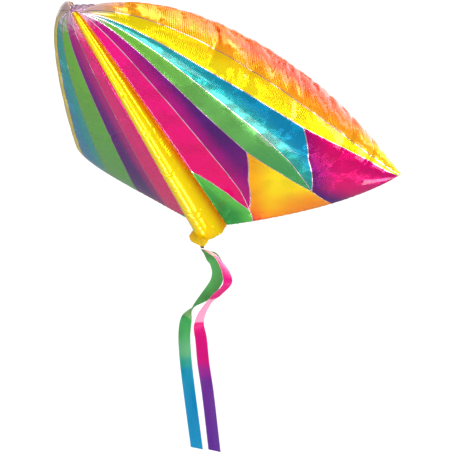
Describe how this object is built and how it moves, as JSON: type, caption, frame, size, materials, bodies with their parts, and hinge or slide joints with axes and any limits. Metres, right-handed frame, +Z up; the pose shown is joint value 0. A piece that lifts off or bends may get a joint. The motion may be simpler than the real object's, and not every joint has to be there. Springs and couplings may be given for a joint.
{
  "type": "delta kite foil balloon",
  "caption": "Inflated foil balloon in the shape of a delta kite: puffed swept wings, a round keel tube with a tied neck, and hanging ribbons.",
  "frame": {"origin": "the thread that ties the neck, where a line is knotted on", "axes": "+X across the span to the right wing tip seen from the front, +Z up, -Y towards the front, the side that the keel tube stands on"},
  "size_m": [0.8394, 0.5938, 1.0286],
  "materials": {
    "printed_film": "gloss",
    "hem_film": "gloss",
    "keel_film": "gloss",
    "valve_film": "gloss",
    "thread": "matte",
    "magenta_ribbon": "gloss",
    "green_ribbon": "gloss"
  },
  "bodies": {
    "balloon": {"front_film_right": "printed_film", "front_film_left": "printed_film", "back_film_right": "printed_film", "back_film_left": "printed_film", "leading_hem_right": "hem_film", "leading_hem_left": "hem_film", "trailing_hem_right": "hem_film", "trailing_hem_left": "hem_film", "keel_weld_right": "hem_film", "keel_weld_left": "hem_film", "keel_film_front": "keel_film", "keel_film_back": "keel_film", "valve_film_front": "valve_film", "valve_film_back": "valve_film"},
    "neck": {"neck": "keel_film", "tie_thread": "thread"},
    "ribbon_magenta": {"ribbon_magenta": "magenta_ribbon"},
    "ribbon_green": {"ribbon_green": "green_ribbon"}
  },
  "joints": [
    {"name": "neck_bend", "type": "hinge", "parent": "balloon", "child": "neck", "pos_m": [0, 0, 0.02], "axis": [1, 0, 0], "range_deg": [-25, 25]},
    {"name": "ribbon_magenta_swing", "type": "hinge", "parent": "neck", "child": "ribbon_magenta", "pos_m": [0, 0, 0], "axis": [1, 0, 0], "range_deg": [-45, 45]},
    {"name": "ribbon_green_swing", "type": "hinge", "parent": "neck", "child": "ribbon_green", "pos_m": [0, 0, 0], "axis": [1, 0, 0], "range_deg": [-45, 45]}
  ]
}
